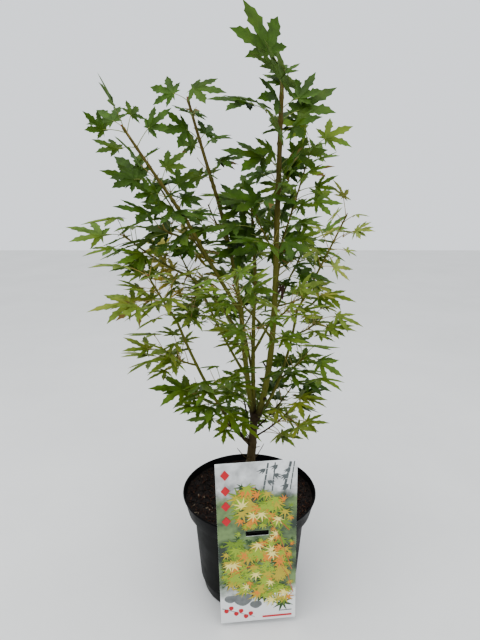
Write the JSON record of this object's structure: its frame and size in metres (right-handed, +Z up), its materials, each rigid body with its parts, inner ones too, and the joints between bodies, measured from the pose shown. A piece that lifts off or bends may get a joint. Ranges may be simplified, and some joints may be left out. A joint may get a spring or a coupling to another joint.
{
  "type": "potted japanese maple",
  "caption": "Young multi-stemmed japanese maple with airy palmate foliage, standing in a round black nursery pot with a picture card hooked on the rim.",
  "frame": {"origin": "centre of the pot's flat underside", "axes": "+Z up, -Y towards the front where the picture card hangs, +X to the right"},
  "size_m": [0.3933, 0.3027, 0.7634],
  "materials": {
    "pot": "satin black",
    "soil": "rough damp compost and bark",
    "card": "glossy printed card",
    "stem_bark": "smooth olive brown bark",
    "bough_bark": "smooth tan bark",
    "foliage": "satin green leaf"
  },
  "bodies": {
    "root": {"pot": "pot", "soil": "soil", "picture_card": "card", "trunk": "stem_bark", "leader_stem": "stem_bark", "left_stem": "stem_bark", "middle_stem": "stem_bark", "upper_left_bough": "bough_bark", "far_left_bough": "bough_bark", "low_left_bough": "bough_bark", "middle_left_bough": "bough_bark", "back_left_bough": "bough_bark", "right_bough": "bough_bark", "back_right_bough": "bough_bark", "back_bough": "bough_bark", "front_bough": "bough_bark", "foliage_leader_top": "foliage", "foliage_upper_left_top": "foliage", "foliage_far_left_top": "foliage", "foliage_far_left_twin": "foliage", "foliage_low_left_top": "foliage", "foliage_low_left_middle": "foliage", "foliage_low_left_foot": "foliage", "foliage_low_left_inner": "foliage", "foliage_middle_left_top": "foliage", "foliage_middle_left_low": "foliage", "foliage_back_left_top": "foliage", "foliage_back_left_low": "foliage", "foliage_middle_top": "foliage", "foliage_middle_inner": "foliage", "foliage_right_top": "foliage", "foliage_right_middle": "foliage", "foliage_right_low": "foliage", "foliage_low_right_front": "foliage", "foliage_low_right_back": "foliage", "foliage_low_front": "foliage", "foliage_low_back": "foliage", "foliage_back_right_top": "foliage", "foliage_back_right_low": "foliage", "foliage_back_top": "foliage", "foliage_back_low": "foliage", "foliage_front_top": "foliage", "foliage_front_low": "foliage", "foliage_leader_right": "foliage", "foliage_leader_left": "foliage", "foliage_leader_front": "foliage", "foliage_leader_back": "foliage", "foliage_upper_left_back": "foliage", "foliage_far_left_low": "foliage"}
  },
  "joints": []
}
